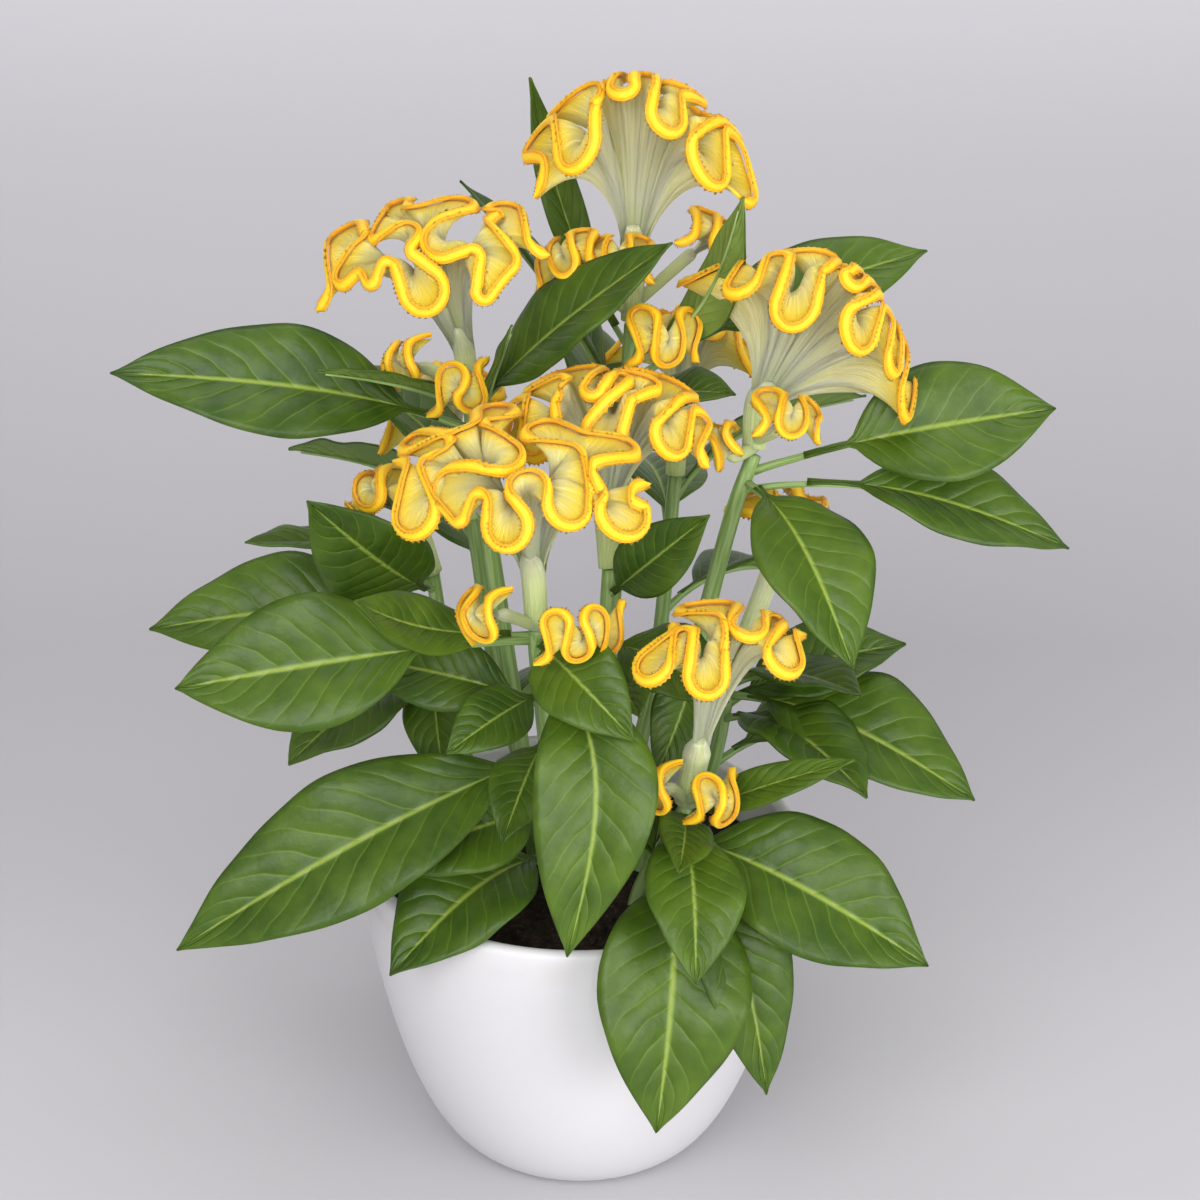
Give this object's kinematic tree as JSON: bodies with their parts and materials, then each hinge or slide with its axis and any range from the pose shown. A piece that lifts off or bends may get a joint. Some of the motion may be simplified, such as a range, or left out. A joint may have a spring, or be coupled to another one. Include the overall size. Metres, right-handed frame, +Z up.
{
  "type": "potted cockscomb celosia",
  "caption": "Cockscomb celosia in a round white pot: leafy stems ending in folded yellow crests on cream fans. Stands on its flat base.",
  "frame": {"origin": "middle of the pot's flat base, on the surface that it stands on", "axes": "+Z up along the pot's axis, -Y towards the plant's best side, +X to that side's right"},
  "size_m": [0.2831, 0.2282, 0.3486],
  "materials": {
    "pot": "matte white",
    "soil": "crumbly, dark brown",
    "leaf": "soft sheen, mid green with paler veins",
    "flank": "silky, pale cream to green",
    "crest": "velvety, golden yellow"
  },
  "bodies": {
    "root": {"pot": "pot", "soil": "soil", "stem_top": "leaf", "stem_upper_left": "leaf", "stem_right": "leaf", "stem_middle": "leaf", "stem_front": "leaf", "stem_front_right": "leaf", "stem_low_right": "leaf", "stem_left": "leaf", "stem_back_right": "leaf", "stem_back_left": "leaf", "bloom_top": "flank", "bloom_upper_left": "flank", "bloom_right": "flank", "bloom_middle": "flank", "bloom_front": "flank", "bloom_left": "flank", "bloom_low_right": "flank", "bloom_front_right": "flank", "bloom_back_right": "flank", "bloom_back_left": "flank", "crest_top_1": "crest", "crest_top_2": "crest", "crest_top_3": "crest", "crest_top_4": "crest", "crest_top_5": "crest", "crest_upper_left_1": "crest", "crest_upper_left_2": "crest", "crest_upper_left_3": "crest", "crest_upper_left_4": "crest", "crest_right_1": "crest", "crest_right_2": "crest", "crest_right_3": "crest", "crest_middle_1": "crest", "crest_front_1": "crest", "crest_front_2": "crest", "crest_front_3": "crest", "crest_front_4": "crest", "crest_left_1": "crest", "crest_low_right_1": "crest", "crest_front_right_1": "crest", "crest_front_right_2": "crest", "crest_front_right_3": "crest", "crest_back_right_1": "crest", "crest_back_left_1": "crest"}
  },
  "joints": []
}
